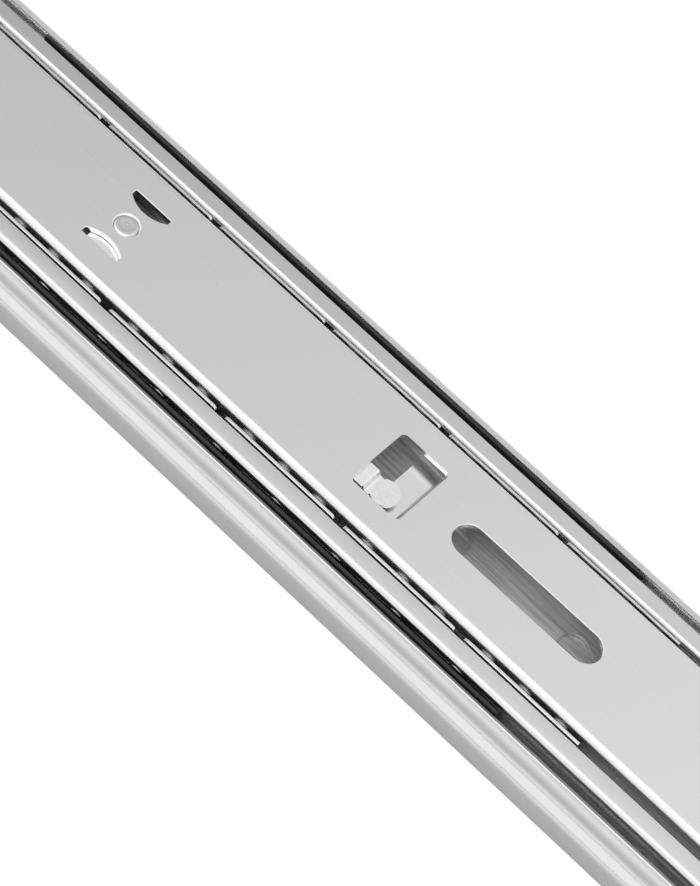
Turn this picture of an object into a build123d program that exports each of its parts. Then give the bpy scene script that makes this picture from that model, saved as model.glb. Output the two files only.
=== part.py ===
from build123d import *
import os

# A pair of three-section ball-bearing slides for a rack server, closed, lying face up side by side.
# X runs along the rails and the slides open towards -X. Z = 0 is the back of the outer members.
# Every piece is drawn for one rail centred on Y = 0, then set to the left, and mirrored to the right.

# Overall size of one rail, how far apart the pair lies, and the travel past half the rail's length
RAIL_LENGTH = 508.0
RAIL_HEIGHT = 45.7
RAIL_DEPTH = 12.7
RAIL_SPACING = 152.4
OVERTRAVEL = 6.0

# Rolled steel and its bends
SHEET = 1.0
BEND = 1.15
SOFT_BEND = 1.3
CORNER_BEND = 1.5

# Gap that shearing leaves round a tongue pressed out of the sheet
SHEAR_GAP = 0.12

# Balls and raceways
INNER_BALL = 3.97
OUTER_BALL = 3.175
BALL_DEPTH = 4.4
BALL_PLAY = 0.03

# Inner member, set in from the outer member's side by the nest of balls, cages and sheet
NEST = 10.5
INNER_GROOVE = 0.42
INNER_WALL = 8.4
INNER_FLAT = 0.8
INNER_SLOPE = 0.9

# Middle member
MIDDLE_SETBACK = 1.05
LIP_GAP = 2.0
MIDDLE_GROOVE = 0.85
MIDDLE_FLAT = 0.65
MIDDLE_SLOPE = 0.9
WEB_GAP = 0.2

# Outer member
OUTER_LIP_DEPTH = 1.6
OUTER_LIP_LEAN = 0.75
FLARE_START = 4.7
FLARE_DROP = 2.6
FLARE_BEND = 2.5

# Inner ball cage, a folded strip in segments of three balls a side
CAGE_SHEET = 0.5
CAGE_PITCH = 25.85
CAGE_SEGMENTS = 6
CAGE_REAR_SHARE = 0.20275
CAGE_GAP = 1.3
CAGE_BEND = 3.0
CAGE_DEPTH = 1.15
CAGE_NOTCH = 1.7
CAGE_NOTCH_FLOOR = 7.2
CAGE_BALL_PITCH = 7.72
CAGE_WINDOW = (5.6, 15.3)
CAGE_WINDOW_CORNER = 1.4
POCKET_PLAY = 0.12
POCKET_CUT = 3.0

# Outer ball cage, one straight strip a side
STRIP_SHEET = 0.6
STRIP_OUTWARD = 0.3925
STRIP_DEPTH = 1.79
STRIP_BALLS = 10
STRIP_PITCH = 12.925
STRIP_MARGIN = 9.6
STRIP_X = 22.34

# Travel stops pressed out of the sheet
STOP_GAP = 0.5
STOP_LENGTH = 1.2
STOP_TALL = 0.7
STOP_REACH = 0.35
WEB_STOP_WIDTH = 4.0
WEB_STOP_Y = 3.0
WEB_STOP_CATCH = 0.6

# Screw holes, and the windows that let a screwdriver reach the rack screws
SCREW_HOLE = 4.6
CHASSIS_HOLE = 4.5
ACCESS_FROM_END = 74.0
ACCESS_LENGTH = 16.0
CHASSIS_HOLE_FROM_ACCESS = 50.0
ACCESS_WIDTH = 9.0
ACCESS_CORNER = 2.0

# Slot through the inner member
SLOT_X = 79.9
SLOT_LENGTH = 30.5
SLOT_WIDTH = 6.0

# Latch window and the tab pressed in from its rear edge
WINDOW_X = 52.5
WINDOW_LENGTH = 10.1
WINDOW_WIDTH = 13.55
WINDOW_CORNER = 0.6
TAB_LENGTH = 4.8
TAB_RAMP = 1.0
TAB_DEPTH = 3.5
TAB_LEAD = 0.25
TAB_BEND = 1.1
TAB_FOOT_BEND = 0.275
TAB_SIDE_GAP = 0.25
TAB_CORNER = 0.65

# Latch spring, its rivet and the two D-shaped holes over its head
SPRING_SHEET = 0.6
RIVET_X = -8.7
RIVET_HEAD = 4.2
RIVET_RECESS = 0.06
RIVET_PLAY = 0.1
RIVET_FOOT = 6.2
RIVET_FOOT_TALL = 0.7
RIVET_FOOT_GAP = 0.15
SPRING_HEAD_HIGH = 3.8
SPRING_HEAD_LOW = 6.3
SPRING_TAIL = 5.3
SPRING_CORNER = 1.2
SPRING_TAPER_LOW = 5.3
SPRING_TAPER_HIGH = 7.6
SPRING_STRIP = 4.6
SPRING_STRIP_Y = -3.35
SPRING_STEP_X = 49.4
SPRING_STEP = 1.0
PAD_X = 52.4
PAD_Y = -2.8
PAD_RADIUS = 2.6
NECK_WIDTH = 3.9
NECK_RISE = 0.65
MOON_LENGTH = 7.9
MOON_EDGE = 6.6
MOON_END = 1.0
MOON_WIDTH = 2.4

# Bumper in the rear end of the outer member
BUMPER_LENGTH = 8.0
BUMPER_GAP = 0.3
BUMPER_WIDTH = 31.0
BUMPER_DEPTH = 1.4
BUMPER_STUD = 5.0
BUMPER_ROUND = 1.5

# Places that follow from the sizes above
TRAVEL = RAIL_LENGTH / 2 + OVERTRAVEL
INNER_HALF = RAIL_HEIGHT / 2 - NEST
MIDDLE_LIP = INNER_HALF + LIP_GAP
CAGE_HALF = INNER_HALF + CAGE_GAP
ACCESS_X = RAIL_LENGTH / 2 - ACCESS_FROM_END
CHASSIS_HOLE_X = ACCESS_X - CHASSIS_HOLE_FROM_ACCESS
FRONT = -RAIL_LENGTH / 2
REAR = RAIL_LENGTH / 2
FACE = RAIL_DEPTH
BALL_Z = FACE - BALL_DEPTH
INNER_RACE = INNER_HALF - INNER_GROOVE
INNER_BALL_Y = INNER_RACE + BALL_PLAY + INNER_BALL / 2
MIDDLE_RIDGE = INNER_BALL_Y + INNER_BALL / 2 + BALL_PLAY
MIDDLE_RACE = MIDDLE_RIDGE + SHEET
MIDDLE_HALF = MIDDLE_RACE + MIDDLE_GROOVE
MIDDLE_BACK = SHEET + WEB_GAP
MIDDLE_WEB = MIDDLE_BACK + SHEET
OUTER_BALL_Y = MIDDLE_RACE + BALL_PLAY + OUTER_BALL / 2
OUTER_RACE = OUTER_BALL_Y + OUTER_BALL / 2 + BALL_PLAY
STRIP_MIDDLE = OUTER_BALL_Y + STRIP_OUTWARD
CAGE_BACK = MIDDLE_WEB + WEB_GAP
CAGE_WALL = CAGE_HALF - CAGE_SHEET
CAGE_LENGTH = CAGE_SEGMENTS * CAGE_PITCH - CAGE_NOTCH
CAGE_X = RAIL_LENGTH * CAGE_REAR_SHARE - CAGE_SEGMENTS * CAGE_PITCH / 2
STRIP_LENGTH = (STRIP_BALLS - 1) * STRIP_PITCH + 2 * STRIP_MARGIN
INNER_END = REAR - BUMPER_LENGTH - BUMPER_GAP
CAGE_TRAVEL = TRAVEL / 2
TAB_EDGE = WINDOW_X + WINDOW_LENGTH / 2 - TAB_RAMP - TAB_LENGTH


def mirrored(half, radii):
    """A whole skin line and its radii, from the half that runs from one lip to the web corner."""
    points = half + [(-y, z) for y, z in reversed(half)]
    return points, radii + radii[::-1]


def rolled(half, radii, sheet, start, end, inside=Side.RIGHT):
    """A symmetric rolled section: its outer skin is thickened inwards and drawn out along X."""
    points, bends = mirrored(half, radii)
    skin = FilletPolyline(*points, radius=bends).wire()
    section = make_face(skin.offset_2d(sheet, side=inside, kind=Kind.INTERSECTION))
    return extrude(Plane.YZ.offset(start) * section, end - start)


def upright_holes(diameter, places):
    """Round cutters through a web, on the rail's centreline."""
    return [Pos(x, 0, RAIL_DEPTH / 2) * Cylinder(diameter / 2, 2 * RAIL_DEPTH) for x in places]


def access_windows():
    """Cutters for the windows over the rack screws, at both ends of a sliding section."""
    block = Box(ACCESS_LENGTH, ACCESS_WIDTH, 2 * RAIL_DEPTH)
    window = chamfer(block.edges().filter_by(Axis.Z), ACCESS_CORNER)
    return [Pos(x, 0, RAIL_DEPTH) * window for x in both_ends(ACCESS_X)]


def both_ends(x):
    """The same distance from the rail's middle, towards the front and towards the rear."""
    return [-x, x]


def side_stops(x, foot, tip):
    """A pair of small stops pressed out of the side walls, across the path of a ball cage."""
    width = abs(tip - foot)
    block = Box(STOP_LENGTH, width, STOP_TALL)
    return [Pos(x, side * (foot + tip) / 2, BALL_Z) * block for side in (1, -1)]


def outer_member():
    """The rack section: a channel with inturned lips, fixed to the rack through its web."""
    half_height = RAIL_HEIGHT / 2
    shoulder = OUTER_RACE + SHEET
    half = [
        (shoulder - OUTER_LIP_LEAN, FACE - OUTER_LIP_DEPTH),
        (shoulder, FACE - OUTER_LIP_DEPTH - 2 * OUTER_LIP_LEAN),
        (shoulder, FACE - FLARE_START),
        (half_height, FACE - FLARE_START - FLARE_DROP),
        (half_height, 0),
    ]
    body = rolled(half, [FLARE_BEND, BEND, FLARE_BEND, CORNER_BEND], SHEET, FRONT, REAR)
    stop_x = STRIP_X - STRIP_LENGTH / 2 - CAGE_TRAVEL - STOP_GAP - STOP_LENGTH / 2
    body += side_stops(stop_x, OUTER_RACE + SHEET / 2, STRIP_MIDDLE - STOP_REACH / 2)
    body -= upright_holes(SCREW_HOLE, both_ends(ACCESS_X))
    return body - Pos(REAR - BUMPER_LENGTH / 2, 0, SHEET / 2) * Box(BUMPER_STUD, BUMPER_STUD, 2 * SHEET)


def middle_member():
    """The section between: lipped over the inner balls, grooved outside for the outer balls."""
    front = FACE - MIDDLE_SETBACK
    half = [
        (MIDDLE_LIP, front),
        (MIDDLE_HALF, front),
        (MIDDLE_HALF, BALL_Z + MIDDLE_FLAT + MIDDLE_SLOPE),
        (MIDDLE_RACE, BALL_Z + MIDDLE_FLAT),
        (MIDDLE_RACE, BALL_Z - MIDDLE_FLAT),
        (MIDDLE_HALF, BALL_Z - MIDDLE_FLAT - MIDDLE_SLOPE),
        (MIDDLE_HALF, MIDDLE_BACK),
    ]
    bends = [BEND, SOFT_BEND, SHEET / 2, SHEET / 2, SOFT_BEND, CORNER_BEND]
    body = rolled(half, bends, SHEET, FRONT, INNER_END)
    cage_stop = CAGE_X - CAGE_LENGTH / 2 - CAGE_TRAVEL - STOP_GAP - STOP_LENGTH / 2
    strip_stop = STRIP_X + STRIP_LENGTH / 2 + CAGE_TRAVEL + STOP_GAP + STOP_LENGTH / 2
    body += side_stops(cage_stop, MIDDLE_RIDGE + SHEET / 2, CAGE_WALL + STOP_REACH)
    body += side_stops(strip_stop, MIDDLE_RACE - SHEET / 2, STRIP_MIDDLE + STOP_REACH / 2)
    body -= access_windows()
    return add_web_stop(body)


def add_web_stop(body):
    """The tongue bent up from the middle web that the inner member's tab meets when fully out."""
    face = TAB_EDGE - TRAVEL
    tall = FACE - TAB_DEPTH - WEB_STOP_CATCH - MIDDLE_BACK
    hole = Box(tall - SHEET, WEB_STOP_WIDTH + 2 * SHEAR_GAP, 2 * SHEET)
    tongue = Box(SHEET, WEB_STOP_WIDTH, tall)
    body -= Pos(face - SHEET - (tall - SHEET) / 2, WEB_STOP_Y, MIDDLE_BACK + SHEET / 2) * hole
    return body + Pos(face - SHEET / 2, WEB_STOP_Y, MIDDLE_BACK + tall / 2) * tongue


def moon_holes():
    """Cutters for the D-shaped holes each side of the rivet, their arcs towards it."""
    half = MOON_LENGTH / 2
    ends = Polyline((half, -MOON_END), (half, 0), (-half, 0), (-half, -MOON_END))
    arc = ThreePointArc((-half, -MOON_END), (0, -MOON_WIDTH), (half, -MOON_END))
    through = 3 * SHEET
    hole = Pos(RIVET_X, MOON_EDGE, FACE - through / 2) * extrude(make_face(ends + arc), through)
    return [hole, mirror(hole, about=Plane.XZ)]


def pressed_tab():
    """The tab from the window's rear edge: down a short ramp, then flat, its free edge to the front."""
    edge = WINDOW_X + WINDOW_LENGTH / 2
    line = [
        (edge + 2 * SHEET, FACE),
        (edge - TAB_LEAD, FACE),
        (edge - TAB_RAMP, FACE - TAB_DEPTH),
        (TAB_EDGE, FACE - TAB_DEPTH),
    ]
    skin = FilletPolyline(*line, radius=[TAB_BEND, TAB_FOOT_BEND]).wire()
    section = make_face(skin.offset_2d(SHEET, side=Side.LEFT, kind=Kind.INTERSECTION))
    width = WINDOW_WIDTH - 2 * TAB_SIDE_GAP
    tab = extrude(Plane.XZ * section, width / 2, both=True)
    corners = tab.edges().filter_by(Axis.Z).group_by(Axis.X)[0]
    return chamfer(corners, TAB_CORNER)


def inner_member():
    """The chassis section, with the window, slot, D-shaped holes and screw holes in its face web."""
    half = [
        (INNER_HALF, FACE - INNER_WALL),
        (INNER_HALF, BALL_Z - INNER_FLAT - INNER_SLOPE),
        (INNER_RACE, BALL_Z - INNER_FLAT),
        (INNER_RACE, BALL_Z + INNER_FLAT),
        (INNER_HALF, BALL_Z + INNER_FLAT + INNER_SLOPE),
        (INNER_HALF, FACE),
    ]
    bends = [SOFT_BEND, 2 * SHEET, 2 * SHEET, SOFT_BEND, BEND]
    body = rolled(half, bends, SHEET, FRONT, INNER_END, Side.LEFT)
    stop_x = CAGE_X + CAGE_LENGTH / 2 + CAGE_TRAVEL + STOP_GAP + STOP_LENGTH / 2
    body += side_stops(stop_x, INNER_RACE - SHEET / 2, CAGE_HALF - STOP_REACH)
    body -= access_windows()
    body -= upright_holes(CHASSIS_HOLE, both_ends(CHASSIS_HOLE_X))
    body -= upright_holes(RIVET_HEAD + RIVET_PLAY, [RIVET_X])
    through = 3 * SHEET
    slot = Pos(SLOT_X, 0, FACE - through / 2) * SlotOverall(SLOT_LENGTH, SLOT_WIDTH)
    window = chamfer(Rectangle(WINDOW_LENGTH, WINDOW_WIDTH).vertices(), WINDOW_CORNER)
    opening = Pos(WINDOW_X, 0, FACE - through / 2) * window
    body -= [extrude(slot, through), extrude(opening, through)] + moon_holes()
    return body + pressed_tab()


def latch_spring():
    """A leaf under the face web: riveted head, offset strip, a step down and a round thumb pad."""
    top = FACE - SHEET
    start = RIVET_X - SPRING_TAIL
    pad_end = PAD_X + PAD_RADIUS
    side = [
        (start, top),
        (SPRING_STEP_X, top),
        (SPRING_STEP_X + SPRING_STEP, top - SPRING_STEP),
        (pad_end, top - SPRING_STEP),
    ]
    skin = FilletPolyline(*side, radius=SPRING_SHEET).wire()
    section = make_face(skin.offset_2d(SPRING_SHEET, side=Side.RIGHT, kind=Kind.INTERSECTION))
    sheet = extrude(Plane.XZ * section, INNER_HALF, both=True)
    head_end = RIVET_X + SPRING_TAIL
    strip_high = SPRING_STRIP_Y + SPRING_STRIP / 2
    strip_low = SPRING_STRIP_Y - SPRING_STRIP / 2
    taper = Polygon(
        (start, SPRING_HEAD_HIGH),
        (start, -SPRING_HEAD_LOW),
        (head_end, -SPRING_HEAD_LOW),
        (head_end + SPRING_TAPER_LOW, strip_low),
        (SPRING_STEP_X, strip_low),
        (SPRING_STEP_X, strip_high),
        (head_end + SPRING_TAPER_HIGH, strip_high),
        (head_end, SPRING_HEAD_HIGH),
        align=None,
    )
    taper = chamfer(taper.vertices().group_by(Axis.X)[0], SPRING_CORNER)
    neck = Pos((SPRING_STEP_X + PAD_X) / 2, PAD_Y + NECK_RISE)
    pad = neck * Rectangle(PAD_X - SPRING_STEP_X, NECK_WIDTH) + Pos(PAD_X, PAD_Y) * Circle(PAD_RADIUS)
    plan = extrude(Sketch() + taper + pad, RAIL_DEPTH)
    return (sheet & plan) - upright_holes(RIVET_HEAD + 2 * RIVET_PLAY, [RIVET_X])


def latch_rivet():
    """The rivet that holds the spring: a flush head, and a foot upset below the leaf."""
    radius = RIVET_HEAD / 2
    top = FACE - RIVET_RECESS
    under = FACE - SHEET - SPRING_SHEET - RIVET_FOOT_GAP
    shank = Pos(RIVET_X, 0, (top + under) / 2) * Cylinder(radius, top - under)
    foot = Pos(RIVET_X, 0, under - RIVET_FOOT_TALL / 2) * Cylinder(RIVET_FOOT / 2, RIVET_FOOT_TALL)
    return shank + foot


def segment_centres():
    """The middles of the inner cage's segments along X."""
    first = CAGE_X - (CAGE_SEGMENTS - 1) * CAGE_PITCH / 2
    return [first + n * CAGE_PITCH for n in range(CAGE_SEGMENTS)]


def inner_ball_places():
    """Where the inner balls lie along X: three to each segment."""
    return [x + n * CAGE_BALL_PITCH for x in segment_centres() for n in (-1, 0, 1)]


def outer_ball_places():
    """Where the outer balls lie along X, evenly spaced."""
    first = STRIP_X - (STRIP_BALLS - 1) * STRIP_PITCH / 2
    return [first + n * STRIP_PITCH for n in range(STRIP_BALLS)]


def pockets(diameter, wall_y, places):
    """Cutters for the ball pockets in both walls of a cage."""
    size = diameter + 2 * POCKET_PLAY
    block = Box(size, POCKET_CUT, size)
    return [Pos(x, side * wall_y, BALL_Z) * block for x in places for side in (1, -1)]


def inner_cage():
    """The inner ball cage: a channel strip slit into segments, with ball pockets and web windows."""
    half = [(CAGE_HALF, FACE - CAGE_DEPTH), (CAGE_HALF, CAGE_BACK)]
    start = CAGE_X - CAGE_LENGTH / 2
    cage = rolled(half, [CAGE_BEND], CAGE_SHEET, start, start + CAGE_LENGTH)
    cage -= pockets(INNER_BALL, CAGE_HALF - CAGE_SHEET / 2, inner_ball_places())
    deep = 2 * (CAGE_NOTCH_FLOOR - CAGE_DEPTH)
    notch = Box(CAGE_NOTCH, 2 * RAIL_HEIGHT, deep)
    slits = [x + CAGE_PITCH / 2 for x in segment_centres()[:-1]]
    cage -= [Pos(x, 0, FACE - CAGE_DEPTH) * notch for x in slits]
    along, across = CAGE_WINDOW
    window = chamfer(Box(along, across, RAIL_DEPTH).edges().filter_by(Axis.Z), CAGE_WINDOW_CORNER)
    return cage - [Pos(x, 0, 0) * window for x in segment_centres()]


def outer_cage(side):
    """One strip of the outer ball cage, with a pocket for every ball."""
    tall = 2 * (BALL_DEPTH - STRIP_DEPTH)
    strip = Pos(STRIP_X, side * STRIP_MIDDLE, BALL_Z) * Box(STRIP_LENGTH, STRIP_SHEET, tall)
    return strip - pockets(OUTER_BALL, STRIP_MIDDLE, outer_ball_places())


def ball_row(diameter, y, places):
    """A row of balls, each of twelve facets whose corners touch the true ball, to keep the facets few."""
    side = diameter * 0.5**0.5
    bars = [Rot(Z=45) * Box(side, side, diameter), Rot(X=45) * Box(diameter, side, side)]
    ball = bars[0] & bars[1] & Rot(Y=45) * Box(side, diameter, side)
    return Compound([(Pos(x, y, BALL_Z) * ball).solid() for x in places])


def rear_bumper():
    """The moulded bumper: a block on the outer web, held by a square stud pushed through it."""
    x = REAR - BUMPER_LENGTH / 2
    tall = RAIL_DEPTH - SHEET - BUMPER_DEPTH
    block = Pos(x, 0, SHEET + tall / 2) * Box(BUMPER_LENGTH, BUMPER_WIDTH, tall)
    block = chamfer(block.edges().filter_by(Axis.Z), BUMPER_ROUND)
    return block + Pos(x, 0, SHEET / 2) * Box(BUMPER_STUD, BUMPER_STUD, SHEET)


def rail_pieces():
    """Every piece of one rail by name, centred on Y = 0."""
    pieces = {
        "outer_member": outer_member(),
        "middle_member": middle_member(),
        "inner_member": inner_member(),
        "inner_cage": inner_cage(),
        "latch_spring": latch_spring(),
        "latch_rivet": latch_rivet(),
        "rear_bumper": rear_bumper(),
    }
    for name, side in (("upper", 1), ("lower", -1)):
        pieces[f"outer_cage_{name}"] = outer_cage(side)
        pieces[f"outer_balls_{name}"] = ball_row(OUTER_BALL, side * OUTER_BALL_Y, outer_ball_places())
        pieces[f"inner_balls_{name}"] = ball_row(INNER_BALL, side * INNER_BALL_Y, inner_ball_places())
    return pieces


os.makedirs("parts", exist_ok=True)
for piece_name, piece in rail_pieces().items():
    left = Pos(0, RAIL_SPACING / 2, 0) * piece
    export_step(left, f"parts/left_{piece_name}.step")
    export_step(mirror(left, about=Plane.XZ), f"parts/right_{piece_name}.step")
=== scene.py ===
import math

import bmesh
import bpy
from mathutils import Matrix, Vector


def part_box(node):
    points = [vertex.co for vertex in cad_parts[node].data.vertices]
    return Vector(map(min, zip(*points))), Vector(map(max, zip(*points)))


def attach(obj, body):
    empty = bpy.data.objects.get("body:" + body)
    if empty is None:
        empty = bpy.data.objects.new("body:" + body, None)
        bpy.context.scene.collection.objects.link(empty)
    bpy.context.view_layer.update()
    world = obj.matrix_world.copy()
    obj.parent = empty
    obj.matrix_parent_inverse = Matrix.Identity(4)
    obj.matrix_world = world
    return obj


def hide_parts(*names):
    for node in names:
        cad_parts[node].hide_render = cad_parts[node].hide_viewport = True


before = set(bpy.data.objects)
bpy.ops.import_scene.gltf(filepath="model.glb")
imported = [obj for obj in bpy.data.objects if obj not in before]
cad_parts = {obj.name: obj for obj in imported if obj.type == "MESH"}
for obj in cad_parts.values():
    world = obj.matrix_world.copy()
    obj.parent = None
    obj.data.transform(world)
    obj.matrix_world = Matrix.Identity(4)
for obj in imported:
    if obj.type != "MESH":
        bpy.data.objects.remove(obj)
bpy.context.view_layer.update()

# The stand: camera, floor and lamps
# The rails lie on a pale table in a white light tent, brightest overhead and behind the camera. The
# camera looks down at the middle of the left rail from its lower long side, as the photographer did.

MM = 0.001

rail_low, rail_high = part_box("left_outer_member")
rail_middle = Vector((0, (rail_low.y + rail_high.y) / 2, 0))
camera_offset = Vector((132.5, -262.9, 392.2)) * MM
looks_along = Vector((-0.1906, 0.5564, -0.8088)).normalized()
picture_right = Vector((0.7228, 0.6370, 0.2678)).normalized()
lens_length = 120.2
sensor_long_side = 36.0

camera_data = bpy.data.cameras.new("camera")
camera_data.lens = lens_length
camera_data.sensor_width = sensor_long_side
camera = bpy.data.objects.new("camera", camera_data)
picture_up = picture_right.cross(looks_along)
turn = Matrix((picture_right, picture_up, -looks_along)).transposed()
camera.matrix_world = Matrix.Translation(rail_middle + camera_offset) @ turn.to_4x4()
bpy.context.scene.collection.objects.link(camera)
bpy.context.scene.camera = camera
bpy.context.scene.view_settings.view_transform = "Standard"


def new_material(name):
    """A material with its node tree emptied but for an output."""
    material = bpy.data.materials.new(name)
    material.use_nodes = True
    tree = material.node_tree
    tree.nodes.clear()
    output = tree.nodes.new("ShaderNodeOutputMaterial")
    return material, tree, output


def feed(tree, socket, value):
    """Sets a socket to a plain number, or links it to the socket that is given."""
    if isinstance(value, (int, float)):
        socket.default_value = value
    else:
        tree.links.new(value, socket)


def number(tree, operation, *values):
    """A math node fed by sockets or plain numbers."""
    node = tree.nodes.new("ShaderNodeMath")
    node.operation = operation
    for socket, value in zip(node.inputs, values):
        feed(tree, socket, value)
    return node.outputs[0]


def between(tree, source, low, high, start=0.0, end=1.0, curve="LINEAR"):
    """A value that goes from low to high while its source goes from start to end."""
    node = tree.nodes.new("ShaderNodeMapRange")
    node.interpolation_type = curve
    node.inputs["From Min"].default_value = start
    node.inputs["From Max"].default_value = end
    node.inputs["To Min"].default_value = low
    node.inputs["To Max"].default_value = high
    tree.links.new(source, node.inputs["Value"])
    return node.outputs[0]


def shown_to_camera(tree, shader, glow, share, output):
    """Mixes a glow into a shader, for the camera's own rays alone, up to a share."""
    ray = tree.nodes.new("ShaderNodeLightPath")
    mix = tree.nodes.new("ShaderNodeMixShader")
    tree.links.new(number(tree, "MULTIPLY", ray.outputs["Is Camera Ray"], share), mix.inputs["Fac"])
    tree.links.new(shader.outputs[0], mix.inputs[1])
    tree.links.new(glow.outputs[0], mix.inputs[2])
    tree.links.new(mix.outputs[0], output.inputs["Surface"])


table_reach = 6.0
table_level = -0.0002
table_white, table_shade = 0.85, 0.46
shade_start, shade_end = 0.003, 0.025
paper_roughness = 0.6
table_glow, table_glow_share = 1.02, 0.96

table_mesh = bpy.data.meshes.new("table_top")
table_shape = bmesh.new()
bmesh.ops.create_grid(table_shape, x_segments=8, y_segments=8, size=table_reach)
table_shape.to_mesh(table_mesh)
table_shape.free()
table_top = bpy.data.objects.new("table_top", table_mesh)
table_top.location.z = table_level
bpy.context.scene.collection.objects.link(table_top)

table_paper, tree, output = new_material("table_paper")
paper = tree.nodes.new("ShaderNodeBsdfPrincipled")
paper.inputs["Roughness"].default_value = paper_roughness
spot = tree.nodes.new("ShaderNodeTexCoord")
spot_parts = tree.nodes.new("ShaderNodeSeparateXYZ")
tree.links.new(spot.outputs["Object"], spot_parts.inputs[0])
rail_reach = (rail_high.y - rail_low.y) / 2
# The paper is painted darker close beside the rails and lighter further off: a painted shadow.
from_middle = number(tree, "ABSOLUTE", spot_parts.outputs["Y"])
from_rail = number(tree, "ABSOLUTE", number(tree, "SUBTRACT", from_middle, rail_middle.y))
beside_rails = number(tree, "SUBTRACT", from_rail, rail_reach)
paper_tone_with_painted_shadow = between(tree, beside_rails, table_shade, table_white, shade_start, shade_end)
tree.links.new(paper_tone_with_painted_shadow, paper.inputs["Base Color"])
glow = tree.nodes.new("ShaderNodeEmission")
glow.inputs["Strength"].default_value = table_glow
shown_to_camera(tree, paper, glow, table_glow_share, output)
table_mesh.materials.append(table_paper)

tent_far, tent_near = 0.87, 1.38
tent_slope = 1.17
tent_darkest, tent_lightest = 0.55, 1.15
tent_far_edge, tent_near_edge = 0.56, 0.24
straight_on = -0.19

room = bpy.data.worlds.new("room")
bpy.context.scene.world = room
room.use_nodes = True
room_tree = room.node_tree
room_tree.nodes.clear()
room_output = room_tree.nodes.new("ShaderNodeOutputWorld")
toward = room_tree.nodes.new("ShaderNodeTexCoord")
toward_parts = room_tree.nodes.new("ShaderNodeSeparateXYZ")
room_tree.links.new(toward.outputs["Generated"], toward_parts.inputs[0])
tent_base = tent_far - tent_slope * straight_on
lengthwise = number(room_tree, "MULTIPLY_ADD", toward_parts.outputs["X"], tent_slope, tent_base)
limits = room_tree.nodes.new("ShaderNodeClamp")
limits.inputs["Min"].default_value = tent_darkest
limits.inputs["Max"].default_value = tent_lightest
room_tree.links.new(lengthwise, limits.inputs["Value"])
near_share = between(room_tree, toward_parts.outputs["Y"], 0, 1, tent_far_edge, tent_near_edge, "SMOOTHSTEP")
cloth = room_tree.nodes.new("ShaderNodeMix")
cloth.inputs["B"].default_value = tent_near
room_tree.links.new(near_share, cloth.inputs["Factor"])
room_tree.links.new(limits.outputs[0], cloth.inputs["A"])
room_light = room_tree.nodes.new("ShaderNodeBackground")
room_tree.links.new(cloth.outputs["Result"], room_light.inputs["Strength"])
room_white = room_tree.nodes.new("ShaderNodeBackground")
room_white.inputs["Strength"].default_value = 1.0
shown_to_camera(room_tree, room_light, room_white, 1.0, room_output)

overhead_place = Vector((-0.1, -0.35, 1.2))
overhead_size = (2.0, 0.6)
overhead_power = 5.0
softbox = bpy.data.lights.new("overhead_softbox", "AREA")
softbox.shape = "RECTANGLE"
softbox.size, softbox.size_y = overhead_size
softbox.energy = overhead_power
overhead = bpy.data.objects.new("overhead_softbox", softbox)
overhead.location = overhead_place
overhead.rotation_mode = "QUATERNION"
overhead.rotation_quaternion = (-overhead_place).to_track_quat("-Z", "Y")
bpy.context.scene.collection.objects.link(overhead)

# Outer members
# The channels that are screwed to the rack: steel strip rolled to shape, zinc-plated, with both lips
# turned in. Their sheared lips and ends are rougher and darker than the rolled skin, and darker than the
# sheared edges of the other members: painted shade.

face_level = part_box("left_inner_member")[1].z / MM
rail_front, rail_rear = rail_low.x / MM, rail_high.x / MM
rail_half = (rail_high.y - rail_low.y) / 2 / MM
rail_off_centre = (rail_high.y + rail_low.y) / 2 / MM

sheet = 1.0
ball_depth = 4.4
ball_level = face_level - ball_depth
outer_lip_depth, outer_lip_lean, outer_lip_rise = 1.6, 0.75, 1.3
outer_shoulder = 21.2
flare_start, flare_drop = 5.35, 1.6
lip_bend, flare_bend, corner_bend = 4.9, 2.65, 1.5
bend_steps = 7
sheared_round = 0.12
channel_edge = 0.10
edge_angle, sharp_angle = 50, 15
screw_hole, screw_places = 4.6, (-180, 180)
bumper_length, bumper_stud = 8.0, 5.0
punched_corner = 0.3
cut_past = 2.0
same_place = 0.001


def bent_line(points, radii):
    """An open line of points with every inner corner rounded by its own radius."""
    line = [Vector(points[0])]
    for before, corner, after, radius in zip(points, points[1:], points[2:], radii):
        back = (Vector(before) - Vector(corner)).normalized()
        on = (Vector(after) - Vector(corner)).normalized()
        half = back.angle(on) / 2
        centre = Vector(corner) + (back + on).normalized() * (radius / math.sin(half))
        first = Vector(corner) + back * (radius / math.tan(half)) - centre
        last = Vector(corner) + on * (radius / math.tan(half)) - centre
        for n in range(bend_steps + 1):
            line.append(centre + first.slerp(last, n / bend_steps).normalized() * radius)
    line.append(Vector(points[-1]))
    return line


def beside(line, distance):
    """The same line moved to its left by a distance."""
    moved = []
    for n, point in enumerate(line):
        into = (point - line[n - 1]).normalized() if n else None
        out = (line[n + 1] - point).normalized() if n + 1 < len(line) else None
        into, out = into or out, out or into
        left = (Vector((-into.y, into.x)) + Vector((-out.y, out.x))).normalized()
        moved.append(point + left * (distance / left.dot(Vector((-out.y, out.x)))))
    return moved


def both_halves(half):
    """A half outline, from one lip to the web, followed by its mirror image."""
    return half + [(-y, z) for y, z in reversed(half)]


def rounded_tip(line, thickness, radius):
    """The points that round the first corner of a line of sheet, from its cut face onto its skin."""
    along = (line[1] - line[0]).normalized()
    inward = Vector((-along.y, along.x)) * math.copysign(1, thickness)
    centre = line[0] + (along + inward) * radius
    angles = [math.pi / 2 * n / bend_steps for n in range(bend_steps + 1)]
    return [centre - along * (radius * math.cos(a)) - inward * (radius * math.sin(a)) for a in angles]


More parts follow.
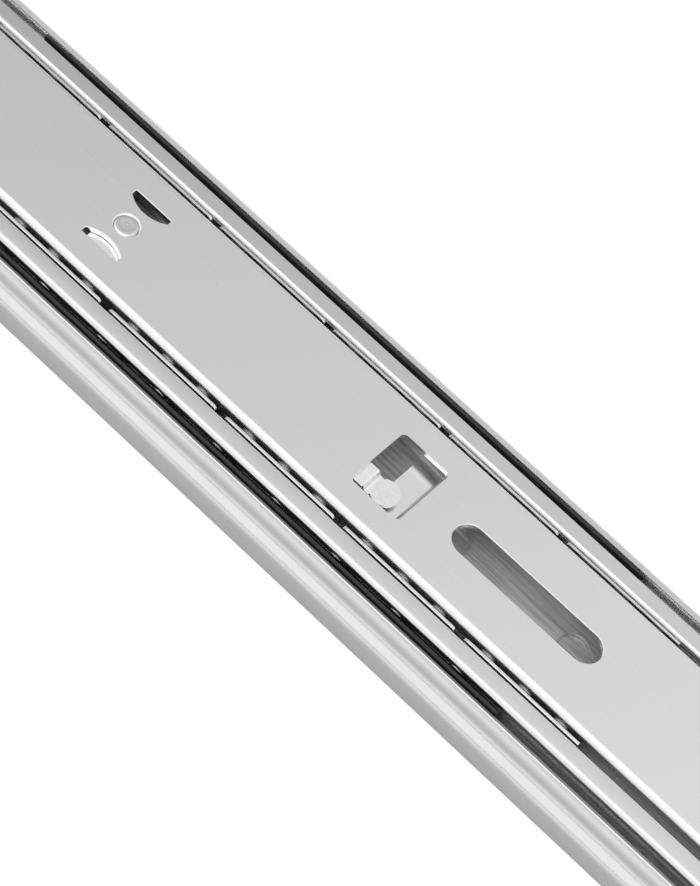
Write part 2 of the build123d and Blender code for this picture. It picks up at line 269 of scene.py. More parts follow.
def rolled_bar(half, radii, thickness, start, end, tip=sheared_round):
    """A strip of sheet bent to a symmetric section and drawn out along the rail.

    The thickness goes to the left of the line. The lip faces and the ends get the second material slot."""
    line = bent_line(both_halves(half), radii + radii[::-1])
    inside = beside(line, thickness)
    first = rounded_tip(line, thickness, tip)
    skin = first + line[1:-1] + [Vector((-p.x, p.y)) for p in first[::-1]]
    ring = skin + inside[::-1]
    shape = bmesh.new()
    near = [shape.verts.new((start, p.x, p.y)) for p in ring]
    far = [shape.verts.new((end, p.x, p.y)) for p in ring]
    count = len(ring)
    for n in range(count):
        m = (n + 1) % count
        face = shape.faces.new((near[n], near[m], far[m], far[n]))
        face.material_index = 1 if n in (len(skin) - 1, count - 1) else 0
    for cap in (near, far[::-1]):
        shape.faces.new(cap).material_index = 1
    bmesh.ops.recalc_face_normals(shape, faces=shape.faces)
    return finished(shape, "rolled_bar")


def finished(shape, name):
    """A loose object, in millimetres, from a bmesh that is then freed."""
    mesh = bpy.data.meshes.new(name)
    shape.to_mesh(mesh)
    shape.free()
    piece = bpy.data.objects.new(name, mesh)
    bpy.context.scene.collection.objects.link(piece)
    return piece


def prism(outline, low, high, upper=None, name="prism"):
    """A block from an (x, y) outline, between two levels, straight or with another outline on top."""
    shape = bmesh.new()
    bottom = [shape.verts.new((x, y, low)) for x, y in outline]
    top = [shape.verts.new((x, y, high)) for x, y in upper or outline]
    shape.faces.new(bottom[::-1])
    shape.faces.new(top)
    for n in range(len(outline)):
        m = (n + 1) % len(outline)
        shape.faces.new((bottom[n], bottom[m], top[m], top[n]))
    bmesh.ops.recalc_face_normals(shape, faces=shape.faces)
    return finished(shape, name)


def punch(outline, under, over):
    """The cutter for a hole through what lies between two levels, reaching past both."""
    return prism(outline, under - cut_past, over + cut_past)


def without_doubles(line):
    """A closed line of points without those that fall on the one before."""
    return [p for n, p in enumerate(line) if (p - line[n - 1]).length > same_place]


def obround(x, y, length, width, corner=None, steps=8):
    """The outline of a slot, or of a rectangle with rounded corners."""
    corner = min(length, width) / 2 if corner is None else corner
    outline = []
    for quarter, (sx, sy) in enumerate(((1, 1), (-1, 1), (-1, -1), (1, -1))):
        middle = Vector((x + sx * (length / 2 - corner), y + sy * (width / 2 - corner)))
        for n in range(steps + 1):
            angle = math.pi / 2 * (quarter + n / steps)
            outline.append(middle + corner * Vector((math.cos(angle), math.sin(angle))))
    return without_doubles(outline)


def round_hole(x, y, diameter, steps=12):
    """The outline of a round hole."""
    return obround(x, y, diameter, diameter, steps=steps)


def worked(piece, tools, operation="DIFFERENCE"):
    """Cuts, joins or trims a piece with other pieces, which are used up."""
    for tool in tools:
        step = piece.modifiers.new(tool.name, "BOOLEAN")
        step.operation = operation
        step.object = tool
        step.solver = "EXACT"
    settle(piece)
    for tool in tools:
        bpy.data.objects.remove(tool)
    return piece


def settle(piece):
    """Turns a piece's modifiers into plain mesh."""
    graph = bpy.context.evaluated_depsgraph_get()
    mesh = bpy.data.meshes.new_from_object(piece.evaluated_get(graph))
    piece.modifiers.clear()
    piece.data = mesh


def broken_edges(piece, width):
    """Rounds the sharp edges a little, as shearing and plating leave them, and smooths the bends."""
    step = piece.modifiers.new("broken_edges", "BEVEL")
    step.width = width
    step.segments = 2
    step.limit_method = "ANGLE"
    step.angle_limit = math.radians(edge_angle)
    step.harden_normals = False
    settle(piece)
    piece.data.shade_smooth()
    piece.data.set_sharp_from_angle(angle=math.radians(sharp_angle))


def place_pair(piece, name, body, nodes, materials):
    """Sets a piece drawn for a centred rail to the left, and its mirror image to the right."""
    for material in materials:
        piece.data.materials.append(material)
    for side, sign in (("left", 1), ("right", -1)):
        mesh = piece.data.copy()
        aside = Matrix.Translation((0, sign * rail_off_centre * MM, 0))
        mesh.transform(aside @ Matrix.Diagonal((MM, sign * MM, MM, 1)))
        if sign < 0:
            mesh.flip_normals()
        placed = bpy.data.objects.new(f"{side}_{name}", mesh)
        bpy.context.scene.collection.objects.link(placed)
        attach(placed, body.format(side=side))
        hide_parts(*[f"{side}_{node}" for node in nodes])
    bpy.data.objects.remove(piece)


def new_group(name, inputs, outputs):
    """An empty shader group with number inputs, given as name and value, and named outputs."""
    group = bpy.data.node_groups.new(name, "ShaderNodeTree")
    for label, value in inputs.items():
        socket = group.interface.new_socket(label, in_out="INPUT", socket_type="NodeSocketFloat")
        socket.default_value = value
    for label in outputs:
        group.interface.new_socket(label, in_out="OUTPUT", socket_type="NodeSocketFloat")
    return group, group.nodes.new("NodeGroupInput"), group.nodes.new("NodeGroupOutput")


def placed_group(tree, group, values):
    """A shader group placed in a material with its own values."""
    node = tree.nodes.new("ShaderNodeGroup")
    node.node_tree = group
    for label, value in values.items():
        node.inputs[label].default_value = value
    return node


def stretched_noise(tree, along, across, detail):
    """Noise with its own fineness along and across the rail, in waves for each metre."""
    place = tree.nodes.new("ShaderNodeTexCoord")
    scale = tree.nodes.new("ShaderNodeCombineXYZ")
    for label, value in (("X", along), ("Y", across), ("Z", across)):
        feed(tree, scale.inputs[label], value)
    stretch = tree.nodes.new("ShaderNodeVectorMath")
    stretch.operation = "MULTIPLY"
    tree.links.new(place.outputs["Object"], stretch.inputs[0])
    tree.links.new(scale.outputs[0], stretch.inputs[1])
    noise = tree.nodes.new("ShaderNodeTexNoise")
    noise.inputs["Scale"].default_value = 1.0
    noise.inputs["Detail"].default_value = detail
    tree.links.new(stretch.outputs[0], noise.inputs["Vector"])
    return noise.outputs["Fac"]


finenesses = {"Along": 60.0, "Across": 6000.0}
rolled_grain, inlet, outlet = new_group("rolled_grain", finenesses, ("Grain", "Mottle"))
grain_noise = stretched_noise(rolled_grain, inlet.outputs["Along"], inlet.outputs["Across"], detail=3.0)
mottle_noise = stretched_noise(rolled_grain, along=900.0, across=1500.0, detail=4.0)
rolled_grain.links.new(grain_noise, outlet.inputs["Grain"])
rolled_grain.links.new(mottle_noise, outlet.inputs["Mottle"])

streak_limit, patch_limit = 0.66, 0.54
scratches, inlet, outlet = new_group("scratches", {"Amount": 0.5}, ("Marks",))
streaks = stretched_noise(scratches, along=250.0, across=9000.0, detail=2.0)
patches = stretched_noise(scratches, along=90.0, across=240.0, detail=2.0)
on_streak = number(scratches, "GREATER_THAN", streaks, streak_limit)
on_patch = number(scratches, "GREATER_THAN", patches, patch_limit)
marks = number(scratches, "MULTIPLY", on_streak, on_patch)
scratches.links.new(number(scratches, "MULTIPLY", marks, inlet.outputs["Amount"]), outlet.inputs["Marks"])

MICRON = 0.000001
roughness_spread = 0.05


def plated_steel(
    name, tint, roughness, grain, tone_spread, scratched,
    along=40.0, across=2500.0, tone_from="Mottle", metal=1.0,
):
    """Zinc-plated or bright steel: rolling grain, a faint mottle and a few fine scratches.

    The grain's depth is in microns, and its fineness along and across the rail in waves for each metre."""
    material, tree, output = new_material(name)
    steel = tree.nodes.new("ShaderNodeBsdfPrincipled")
    steel.inputs["Metallic"].default_value = metal
    rolling = placed_group(tree, rolled_grain, {"Along": along, "Across": across})
    worn = placed_group(tree, scratches, {"Amount": scratched})
    tone = between(tree, rolling.outputs[tone_from], 1 - tone_spread, 1 + tone_spread)
    shade = tree.nodes.new("ShaderNodeVectorMath")
    shade.operation = "SCALE"
    shade.inputs[0].default_value = tint
    tree.links.new(tone, shade.inputs["Scale"])
    tree.links.new(shade.outputs[0], steel.inputs["Base Color"])
    smoothest, roughest = roughness * (1 - roughness_spread), roughness * (1 + roughness_spread)
    rough = between(tree, rolling.outputs["Grain"], smoothest, roughest)
    tree.links.new(number(tree, "ADD", rough, worn.outputs["Marks"]), steel.inputs["Roughness"])
    bump = tree.nodes.new("ShaderNodeBump")
    bump.inputs["Strength"].default_value = 1.0
    bump.inputs["Distance"].default_value = grain * MICRON
    tree.links.new(rolling.outputs["Grain"], bump.inputs["Height"])
    tree.links.new(bump.outputs[0], steel.inputs["Normal"])
    tree.links.new(steel.outputs[0], output.inputs["Surface"])
    return material


outer_steel = plated_steel(
    "outer_steel", (0.74, 0.745, 0.73), roughness=0.25, grain=0.3, tone_spread=0.02, scratched=0.05,
)
# A darker copy of the sheared steel, for the outer channel's lips and ends: painted shade.
painted_shade_edge_steel = plated_steel(
    "painted_shade_edge_steel", (0.36, 0.36, 0.355), roughness=0.5, grain=4.0, tone_spread=0.10, scratched=0.0,
    along=1500.0,
)
sheared_steel = plated_steel(
    "sheared_steel", (0.56, 0.56, 0.555), roughness=0.55, grain=4.0, tone_spread=0.10, scratched=0.0,
    along=1500.0,
)

outer_half = [
    (outer_shoulder - outer_lip_lean, face_level - outer_lip_depth),
    (outer_shoulder, face_level - outer_lip_depth - outer_lip_rise),
    (outer_shoulder, face_level - flare_start),
    (rail_half, face_level - flare_start - flare_drop),
    (rail_half, 0),
]
outer = rolled_bar(outer_half, [lip_bend, flare_bend, flare_bend, corner_bend], -sheet, rail_front, rail_rear)
bumper_x = rail_rear - bumper_length / 2
holes = [round_hole(x, 0, screw_hole) for x in screw_places]
holes.append(obround(bumper_x, 0, bumper_stud, bumper_stud, punched_corner))
worked(outer, [punch(hole, 0, sheet) for hole in holes])
broken_edges(outer, channel_edge)
place_pair(
    outer, "outer_channel", "rack_members", ["outer_member"], [outer_steel, painted_shade_edge_steel],
)

# Outer balls and their cages
# Hard steel balls that roll in the outer member's corners and the middle member's grooves. A straight
# black strip on each side keeps them apart, with a round pocket for every ball.

outer_ball, outer_ball_off = 3.175, 18.5775
ball_divisions = 3
strip_sheet, strip_off = 0.6, 18.97
strip_pitch, strip_balls = 12.925, 10
strip_corner, strip_edge = 0.05, 0.07
strip_hole_depth = 3.0
pocket_play, pocket_sides = 0.12, 36
strip_low, strip_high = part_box("left_outer_cage_upper")
strip_front, strip_rear = strip_low.x / MM, strip_high.x / MM
strip_bottom, strip_top = strip_low.z / MM, strip_high.z / MM


def evenly(middle, pitch, count):
    """Places along a line, evenly spaced about a middle."""
    return [middle + (n - (count - 1) / 2) * pitch for n in range(count)]


def ball_row(diameter, off, places):
    """Polished balls in a row, each a finely divided sphere."""
    shape = bmesh.new()
    for x in places:
        place = Matrix.Translation((x, off, ball_level))
        bmesh.ops.create_icosphere(shape, subdivisions=ball_divisions, radius=diameter / 2, matrix=place)
    piece = finished(shape, "ball_row")
    piece.data.shade_smooth()
    return piece


def cone(place, bottom, top, depth, sides, name):
    """A round tool with its own diameter at each end."""
    shape = bmesh.new()
    bmesh.ops.create_cone(
        shape, cap_ends=True, segments=sides, radius1=bottom / 2, radius2=top / 2, depth=depth, matrix=place,
    )
    return finished(shape, name)


def ball_pocket(x, off, ball, depth):
    """The cutter for a ball's pocket, which goes sideways through a cage's wall."""
    place = Matrix.Translation((x, off, ball_level)) @ Matrix.Rotation(math.pi / 2, 4, "X")
    diameter = ball + 2 * pocket_play
    return cone(place, diameter, diameter, depth, pocket_sides, "ball_pocket")


# The balls' steel is darker than bright bearing steel: painted shade for the narrow gaps that they roll in.
ball_steel = plated_steel(
    "ball_steel", (0.42, 0.42, 0.43), roughness=0.09, grain=0.3, tone_spread=0.01, scratched=0.0,
    along=400.0, across=400.0,
)

plastic_dark, plastic_light = (0.012, 0.012, 0.013), (0.030, 0.030, 0.031)
plastic_smooth, plastic_rough = 0.38, 0.58
plastic_gloss = 0.35
plastic_grain = 10.0
black_strip, tree, output = new_material("black_strip")
plastic = tree.nodes.new("ShaderNodeBsdfPrincipled")
plastic.inputs["Specular IOR Level"].default_value = plastic_gloss
moulding = placed_group(tree, rolled_grain, {"Along": 700.0, "Across": 900.0})
darkness = tree.nodes.new("ShaderNodeMapRange")
darkness.data_type = "FLOAT_VECTOR"
darkness.inputs["To Min"].default_value = plastic_dark
darkness.inputs["To Max"].default_value = plastic_light
spread = tree.nodes.new("ShaderNodeCombineXYZ")
for axis in ("X", "Y", "Z"):
    tree.links.new(moulding.outputs["Mottle"], spread.inputs[axis])
tree.links.new(spread.outputs[0], darkness.inputs["Vector"])
tree.links.new(darkness.outputs["Vector"], plastic.inputs["Base Color"])
sheen = between(tree, moulding.outputs["Grain"], plastic_smooth, plastic_rough)
tree.links.new(sheen, plastic.inputs["Roughness"])
grainy = tree.nodes.new("ShaderNodeBump")
grainy.inputs["Distance"].default_value = plastic_grain * MICRON
tree.links.new(moulding.outputs["Grain"], grainy.inputs["Height"])
tree.links.new(grainy.outputs[0], plastic.inputs["Normal"])
tree.links.new(plastic.outputs[0], output.inputs["Surface"])

strip_middle, strip_length = (strip_front + strip_rear) / 2, strip_rear - strip_front
outer_places = evenly(strip_middle, strip_pitch, strip_balls)
for row, side in (("upper", 1), ("lower", -1)):
    balls = ball_row(outer_ball, side * outer_ball_off, outer_places)
    place_pair(
        balls, f"outer_balls_{row}_round", "{side}_outer_balls", [f"outer_balls_{row}"],
        [ball_steel],
    )
    strip_outline = obround(strip_middle, side * strip_off, strip_length, strip_sheet, strip_corner, steps=2)
    strip = prism(strip_outline, strip_bottom, strip_top)
    worked(strip, [ball_pocket(x, side * strip_off, outer_ball, strip_hole_depth) for x in outer_places])
    broken_edges(strip, strip_edge)
    place_pair(
        strip, f"outer_cage_{row}_strip", "{side}_outer_balls", [f"outer_cage_{row}"],
        [black_strip],
    )

# Middle members
# The section between, rolled from the same strip and plated: lips folded in over the inner balls, a
# groove pressed in each side for the outer balls, and a tongue bent up from the web as a stop.

web_gap = 0.2
middle_half, middle_race = 17.81, 16.96
middle_lip, middle_lip_rise, middle_tip = 14.0, 0.25, 0.75
middle_setback = 1.05
middle_flat, middle_slope = 0.65, 0.9
tight_bend, soft_bend, race_bend = 1.15, 1.3, sheet / 2
middle_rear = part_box("left_middle_member")[1].x / MM
middle_back = sheet + web_gap
middle_front_level = face_level - middle_setback
access_length, access_width, access_corner = 16.0, 9.0, 2.0
travel = 260.0
tab_edge = 51.75
tongue_off, tongue_width, tongue_top = 3.0, 4.0, 8.6
tongue_corner, tongue_play = 0.15, 0.12
torn_under, torn_over = -1.0, 4.0
stop_length, stop_tall, stop_reach, stop_gap = 1.2, 0.7, 0.35, 0.5
cage_low, cage_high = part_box("left_inner_cage")
cage_front, cage_rear = cage_low.x / MM, cage_high.x / MM
cage_half, cage_sheet = 13.65, 0.5
web_flatness = 0.9


def access_windows():
    """Cutters for the windows over the rack screws."""
    windows = [obround(x, 0, access_length, access_width, access_corner) for x in screw_places]
    return [punch(window, 0, face_level) for window in windows]


def side_stops(x, foot, tip):
    """Two small stops across the path of a ball cage, one on each wall."""
    front, rear = x - stop_length / 2, x + stop_length / 2
    low, high = sorted((foot, tip))
    corners = [(front, low), (rear, low), (rear, high), (front, high)]
    levels = (ball_level - stop_tall / 2, ball_level + stop_tall / 2)
    return [prism([(a, sign * b) for a, b in corners], *levels) for sign in (1, -1)]


def paint_light_on_webs(piece, top):
    """Gives the third material slot to the flat faces of a web, below a level: a lighter steel, painted light
    for faces seen deep through the holes.
    """
    for face in piece.data.polygons:
        if face.center.z < top and abs(face.normal.z) > web_flatness:
            face.material_index = 2


middle_half_line = [
    (middle_lip, middle_front_level + middle_lip_rise),
    (middle_half, middle_front_level),
    (middle_half, ball_level + middle_flat + middle_slope),
    (middle_race, ball_level + middle_flat),
    (middle_race, ball_level - middle_flat),
    (middle_half, ball_level - middle_flat - middle_slope),
    (middle_half, middle_back),
]
middle_bends = [tight_bend, soft_bend, race_bend, race_bend, soft_bend, corner_bend]
middle = rolled_bar(middle_half_line, middle_bends, -sheet, rail_front, middle_rear, middle_tip)
tongue_face = tab_edge - travel
torn_length = tongue_top - middle_back - sheet
torn_middle = tongue_face - sheet - torn_length / 2
torn = obround(torn_middle, tongue_off, torn_length, tongue_width + 2 * tongue_play, punched_corner)
worked(middle, access_windows() + [prism(torn, torn_under, torn_over)])
tongue_outline = obround(tongue_face - sheet / 2, tongue_off, sheet, tongue_width, tongue_corner, steps=3)
tongue = prism(tongue_outline, middle_back, tongue_top)
cage_stop = cage_front - travel / 2 - stop_gap - stop_length / 2
strip_stop = strip_rear + travel / 2 + stop_gap + stop_length / 2
stops = side_stops(cage_stop, middle_race - sheet / 2, cage_half - cage_sheet + stop_reach)
stops += side_stops(strip_stop, middle_race - sheet / 2, strip_off + stop_reach / 2)
worked(middle, [tongue] + stops, "UNION")
broken_edges(middle, channel_edge)
paint_light_on_webs(middle, middle_back + 2 * sheet)
middle_steel = plated_steel(
    "middle_steel", (0.71, 0.71, 0.715), roughness=0.22, grain=0.4, tone_spread=0.03, scratched=0.25,
)
# A lighter, less metallic copy of the steel for the deep web faces: painted light, standing in for the light
# that comes in through the holes.
painted_light_web_steel = plated_steel(
    "painted_light_web_steel", (0.93, 0.93, 0.93), roughness=0.42, grain=3.0, tone_spread=0.85, scratched=0.1,
    along=90.0, across=1800.0, tone_from="Grain", metal=0.45,
)
place_pair(
    middle, "middle_channel", "{side}_middle", ["middle_member"],
    [middle_steel, sheared_steel, painted_light_web_steel],
)

# Inner balls and their cages
# Larger balls between the inner and the middle member. Their cage is one thin bright strip, folded to a
# channel and slit into segments of three balls a side, with an obround window in each segment's web.

inner_ball, inner_ball_off = 3.97, 13.945
cage_pitch, cage_ball_pitch, cage_segments = 25.85, 7.72, 6
cage_depth, cage_bend, cage_edge = 1.15, 3.0, 0.06
cage_notch, cage_notch_depth = 1.7, 7.2
cage_window = (5.6, 15.3)
cage_hole_depth = 4.0
finger_corner, finger_steps = 0.9, 8

segment_middles = evenly((cage_front + cage_rear) / 2, cage_pitch, cage_segments)
inner_places = [x + n * cage_ball_pitch for x in segment_middles for n in (-1, 0, 1)]
for row, side in (("upper", 1), ("lower", -1)):
    balls = ball_row(inner_ball, side * inner_ball_off, inner_places)
    place_pair(
        balls, f"inner_balls_{row}_round", "{side}_inner_balls", [f"inner_balls_{row}"],
        [ball_steel],
    )


def across_rail(ring, half, name):
    """A block from an (x, z) outline, drawn out across the rail to a half width on each side."""
    shape = bmesh.new()
    near = [shape.verts.new((x, -half, z)) for x, z in ring]
    far = [shape.verts.new((x, half, z)) for x, z in ring]
    shape.faces.new(near)
    shape.faces.new(far[::-1])
    for n in range(len(ring)):
        m = (n + 1) % len(ring)
        shape.faces.new((near[n], far[n], far[m], near[m]))
    bmesh.ops.recalc_face_normals(shape, faces=shape.faces)
    return finished(shape, name)


def finger_gap(x):
    """The cutter for one notch between segments, flared at its mouth to round the fingers' corners."""
    mouth = face_level - cage_depth
    wall = cage_notch / 2
    half = [(wall, face_level - cage_notch_depth)]
    for n in range(finger_steps + 1):
        angle = math.pi / 2 * n / finger_steps
        out, up = 1 - math.cos(angle), math.sin(angle)
        half.append((wall + finger_corner * out, mouth - finger_corner + finger_corner * up))
    half.append((wall + finger_corner, mouth + cut_past))
    ring = [(x + a, z) for a, z in half] + [(x - a, z) for a, z in half[::-1]]
    return across_rail(ring, rail_half, "finger_gap")


cage_back = middle_back + sheet + web_gap
cage_line = [(cage_half, face_level - cage_depth), (cage_half, cage_back)]
inner_cage = rolled_bar(cage_line, [cage_bend], -cage_sheet, cage_front, cage_rear)
tools = [finger_gap(x + cage_pitch / 2) for x in segment_middles[:-1]]
tools += [punch(obround(x, 0, *cage_window), cage_back, cage_back + cage_sheet) for x in segment_middles]
tools += [
    ball_pocket(x, side * cage_half, inner_ball, cage_hole_depth) for x in inner_places for side in (1, -1)
]
worked(inner_cage, tools)
broken_edges(inner_cage, cage_edge)
paint_light_on_webs(inner_cage, cage_back + 2 * cage_sheet)
cage_steel = plated_steel(
    "cage_steel", (0.80, 0.80, 0.79), roughness=0.24, grain=0.3, tone_spread=0.05, scratched=0.10,
)
place_pair(
    inner_cage, "inner_cage_folded", "{side}_inner_balls", ["inner_cage"],
    [cage_steel, cage_steel, painted_light_web_steel],
)

# Inner members
# The section that is screwed to the server: a shallow channel with a grooved wall on each side. Its web is
# pierced for the latch, a screwdriver slot, the screws and two D-shaped holes beside the rivet.

inner_half, inner_race = 12.35, 11.93
inner_wall = 8.4
inner_flat, inner_slope = 0.8, 0.9
inner_edge = 0.16
slot_middle, slot_length, slot_width, slot_steps = 79.9, 30.5, 6.0, 16
window_middle, window_length, window_width, window_corner = 52.5, 10.1, 13.55, 1.0
rivet_x, rivet_head, rivet_play = -8.7, 4.2, 0.1
sink_run, sink_depth, turned_steps = 0.28, 0.22, 64
hole_rim, rim_spread = 0.13, 0.6
chassis_hole, chassis_places = 4.5, (-130, 130)
moon_length, moon_edge, moon_end, moon_width, moon_steps = 7.9, 6.6, 1.0, 2.4, 24
tab_ramp, tab_depth, tab_rise = 1.0, 3.5, 0.2
tab_bend, tab_foot_bend = 1.1, 0.275
tab_root, tab_overlap = sheet / 4, 0.9
tab_side_gap, tab_corner, tab_trim = 0.25, 1.1, 20.0
trim_past = 1.0
broad_area, broad_flatness = 50.0, 0.99


def face_punch(outline):
    """The cutter for a hole in the face web."""
    return punch(outline, face_level - sheet, face_level)


def trimmer(outline):
    """A tool from the floor to a little above the face web, for the pieces that lie under it."""
    return prism(outline, 0, face_level + trim_past)


def rimmed_punch(outline):
    """The cutter for a hole in the face web, and one that breaks the hole's upper edge."""
    corners = [Vector(point) for point in outline]
    turned = sum(a.x * b.y - b.x * a.y for a, b in zip(corners, corners[1:] + corners[:1]))
    side = math.copysign(1, turned)
    wider = []
    for n, corner in enumerate(corners):
        into = (corner - corners[n - 1]).normalized()
        out = (corners[(n + 1) % len(corners)] - corner).normalized()
        away = (Vector((into.y, -into.x)) + Vector((out.y, -out.x))).normalized() * side
        spread = max(rim_spread, abs(away.dot(Vector((out.y, -out.x)))))
        wider.append(corner + away * (2 * hole_rim / spread))
    rim = prism(outline, face_level - hole_rim, face_level + hole_rim, wider, "rim")
    return [face_punch(outline), rim]


def moon_outline(sign):
    """The outline of one D-shaped hole beside the rivet, its arc towards the rivet."""
    half = moon_length / 2
    drop = moon_width - moon_end
    radius = (half * half + drop * drop) / (2 * drop)
    reach = math.asin(half / radius)
    points = [(rivet_x + half, moon_edge)]
    for n in range(moon_steps + 1):
        angle = reach * (1 - 2 * n / moon_steps)
        bulge = radius * (1 - math.cos(angle))
        points.append((rivet_x + radius * math.sin(angle), moon_edge - moon_width + bulge))
    points.append((rivet_x - half, moon_edge))
    return [(x, sign * y) for x, y in points]


def countersink():
    """The cutter for the shallow cone that the riveting tool leaves around the rivet's head."""
    narrow = rivet_head + rivet_play
    place = Matrix.Translation((rivet_x, 0, face_level))
    return cone(place, narrow, narrow + 4 * sink_run, 2 * sink_depth, turned_steps, "countersink")


def pressed_tab():
    """The tab from the window's rear edge, down a short ramp and forward to its free edge."""
    edge = window_middle + window_length / 2
    line = [
        (edge + tab_overlap, face_level),
        (edge - tab_root, face_level),
        (edge - tab_ramp, face_level - tab_depth),
        (tab_edge, face_level - tab_depth + tab_rise),
    ]
    skin = bent_line(line, [tab_bend, tab_foot_bend])
    half = window_width / 2 - tab_side_gap
    tab = across_rail(skin + beside(skin, sheet)[::-1], half, "tab")
    trim = obround(tab_edge + tab_trim / 2, 0, tab_trim, 2 * half, tab_corner)
    return worked(tab, [trimmer(trim)], "INTERSECT")


inner_half_line = [
    (inner_half, face_level - inner_wall),
    (inner_half, ball_level - inner_flat - inner_slope),
    (inner_race, ball_level - inner_flat),
    (inner_race, ball_level + inner_flat),
    (inner_half, ball_level + inner_flat + inner_slope),
    (inner_half, face_level),
]
inner_bends = [soft_bend, 2 * sheet, 2 * sheet, soft_bend, tight_bend]
inner = rolled_bar(inner_half_line, inner_bends, sheet, rail_front, middle_rear)
tools = access_windows()
tools += [face_punch(round_hole(x, 0, chassis_hole)) for x in chassis_places]
tools += [face_punch(round_hole(rivet_x, 0, rivet_head + rivet_play)), countersink()]
tools += rimmed_punch(obround(slot_middle, 0, slot_length, slot_width, steps=slot_steps))
tools.append(face_punch(obround(window_middle, 0, window_length, window_width, window_corner)))
tools += rimmed_punch(moon_outline(1)) + rimmed_punch(moon_outline(-1))
worked(inner, tools)
inner_stop = cage_rear + travel / 2 + stop_gap + stop_length / 2
stops = side_stops(inner_stop, inner_race - sheet / 2, cage_half - stop_reach)
worked(inner, [pressed_tab()] + stops, "UNION")
broken_edges(inner, inner_edge)
# The broad flat faces keep sharp borders, so that the shading of the holes' edges stays out of them.
broad_faces = [f for f in inner.data.polygons if f.area > broad_area and f.normal.z > broad_flatness]
broad_borders = {key for face in broad_faces for key in face.edge_keys}
for edge in inner.data.edges:
    if edge.key in broad_borders:
        edge.use_edge_sharp = True
inner_steel = plated_steel(
    "inner_steel", (0.79, 0.79, 0.79), roughness=0.27, grain=0.1, tone_spread=0.012, scratched=0.0,
    along=8.0, across=900.0,
)
place_pair(
    inner, "inner_channel", "{side}_inner", ["inner_member"], [inner_steel, sheared_steel],
)

# Latch springs
# A leaf of bright spring steel under each face web: a broad riveted head, a narrow strip set off to one
# side, a step down, and a round pad that a finger presses through the window.

leaf_sheet, leaf_gap, leaf_edge = 0.48, 0.12, 0.06
head_high, head_low = 3.8, 6.3
head_front, head_tail = 3.05, 5.3
strap_width, strap_off = 4.6, -3.35
step_x, step_run, step_drop = 49.4, 0.45, 1.0
pad_x, pad_off, pad_radius = 52.4, -2.8, 2.6
pad_sweep, pad_steps = 256, 32
neck_half, neck_reach = 0.82 * pad_radius, 1.6
neck_off = strap_off + pad_radius / 12

leaf_top = face_level - sheet - leaf_gap
leaf_start = rivet_x - head_front
leaf_line = [
    (leaf_start, leaf_top),
    (step_x, leaf_top),
    (step_x + step_run, leaf_top - step_drop),
    (pad_x + pad_radius, leaf_top - step_drop),
]
leaf_skin = bent_line(leaf_line, [leaf_sheet, leaf_sheet])
leaf_ring = without_doubles(leaf_skin + beside(leaf_skin, -leaf_sheet)[::-1])
leaf = across_rail(leaf_ring, rail_half, "leaf")

head_end = rivet_x + head_tail
strap_high, strap_low = strap_off + strap_width / 2, strap_off - strap_width / 2
pad_angles = [math.radians(pad_sweep * (n / pad_steps - 0.5)) for n in range(pad_steps + 1)]
leaf_plan = [
    (leaf_start, -head_low),
    (head_end, -head_low),
    (head_end + head_tail, strap_low),
    (step_x, strap_low),
    (step_x, neck_off - neck_half),
    (pad_x - neck_reach, neck_off - neck_half),
    *[(pad_x + pad_radius * math.cos(a), pad_off + pad_radius * math.sin(a)) for a in pad_angles],
    (pad_x - neck_reach, neck_off + neck_half),
    (step_x, neck_off + neck_half),
    (step_x, strap_high),
    (head_end + 2 * head_high, strap_high),
    (head_end, head_high),
    (leaf_start, head_high),
]
worked(leaf, [trimmer(leaf_plan)], "INTERSECT")
worked(leaf, [trimmer(round_hole(rivet_x, 0, rivet_head + 2 * rivet_play))])
broken_edges(leaf, leaf_edge)
spring_steel = plated_steel(
    "spring_steel", (0.91, 0.91, 0.905), roughness=0.30, grain=1.0, tone_spread=0.12, scratched=0.05,
    along=900.0, across=900.0,
)
place_pair(leaf, "latch_leaf", "{side}_latch", ["latch_spring"], [spring_steel])

# Rivets
# One plain steel rivet holds each leaf. Its head is pressed flush into the face web, with a shallow ring
# and a centre mark from the tool, and its foot is upset below the leaf.

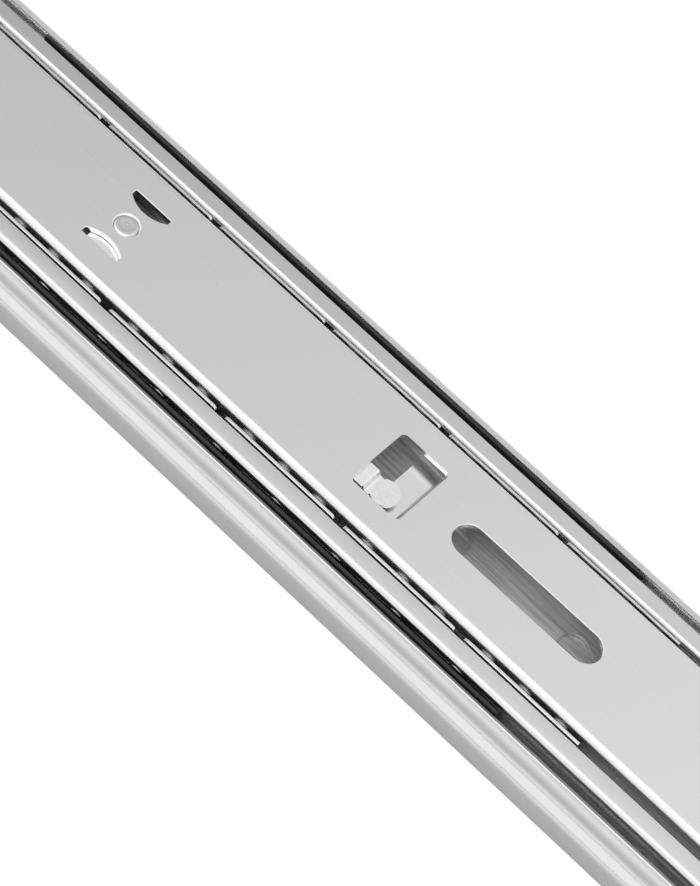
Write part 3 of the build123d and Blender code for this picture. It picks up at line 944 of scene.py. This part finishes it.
rivet_sunk = 0.06
rivet_top = face_level - rivet_sunk
rivet_foot, rivet_foot_tall, rivet_foot_gap = 6.2, 0.7, 0.15
foot_round, foot_taper = 0.2, 0.3
rivet_sharp = 40
rivet_under = leaf_top - leaf_sheet - rivet_foot_gap
head_dents = [
    (0.0, 0.05),
    (0.22, 0.035),
    (0.34, 0.02),
    (0.55, 0.035),
    (1.00, 0.03),
    (1.20, 0.01),
    (1.78, 0.0),
    (1.92, 0.03),
    (rivet_head / 2, 0.20),
]
rivet_profile = [(radius, rivet_top - depth) for radius, depth in head_dents] + [
    (rivet_head / 2, rivet_under),
    (rivet_foot / 2 - foot_round, rivet_under),
    (rivet_foot / 2, rivet_under - foot_round),
    (rivet_foot / 2 - foot_taper, rivet_under - rivet_foot_tall),
    (0.0, rivet_under - rivet_foot_tall),
]
shape = bmesh.new()
profile = [shape.verts.new((radius, 0, z)) for radius, z in rivet_profile]
profile += [shape.edges.new(pair) for pair in zip(profile, profile[1:])]
bmesh.ops.spin(
    shape, geom=profile, cent=(0, 0, 0), axis=(0, 0, 1), angle=2 * math.pi, steps=turned_steps,
    use_duplicate=False,
)
bmesh.ops.remove_doubles(shape, verts=shape.verts, dist=same_place)
bmesh.ops.recalc_face_normals(shape, faces=shape.faces)
bmesh.ops.translate(shape, verts=shape.verts, vec=(rivet_x, 0, 0))
rivet = finished(shape, "rivet")
rivet.data.shade_smooth()
rivet.data.set_sharp_from_angle(angle=math.radians(rivet_sharp))
rivet_steel = plated_steel(
    "rivet_steel", (0.66, 0.66, 0.66), roughness=0.32, grain=1.0, tone_spread=0.05, scratched=0.1,
    along=1200.0, across=1200.0,
)
place_pair(rivet, "latch_rivet_turned", "{side}_inner", ["latch_rivet"], [rivet_steel])

# Bumpers
# A block of black moulded plastic in the rear end of each outer member, which cushions the sliding
# sections. A square stud under it is pushed through the web.

bumper_low, bumper_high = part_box("left_rear_bumper")
bumper_width = (bumper_high.y - bumper_low.y) / MM
bumper_top = bumper_high.z / MM
bumper_corner, bumper_edge = 1.5, 0.3
stud_play, stud_root = 0.05, 1.0
stud_size = bumper_stud - 2 * stud_play
groove_width, groove_depth, groove_pitch, groove_count = 1.6, 1.2, 6.0, 4

bumper = prism(obround(bumper_x, 0, bumper_length, bumper_width, bumper_corner), sheet, bumper_top)
groove_length = bumper_length + cut_past
grooves = [
    obround(bumper_x, off, groove_length, groove_width, punched_corner)
    for off in evenly(0, groove_pitch, groove_count)
]
worked(bumper, [prism(groove, bumper_top - groove_depth, bumper_top + cut_past) for groove in grooves])
stud_outline = obround(bumper_x, 0, stud_size, stud_size, punched_corner)
worked(bumper, [prism(stud_outline, 0, sheet + stud_root)], "UNION")
broken_edges(bumper, bumper_edge)
place_pair(bumper, "rear_bumper_moulded", "rack_members", ["rear_bumper"], [black_strip])
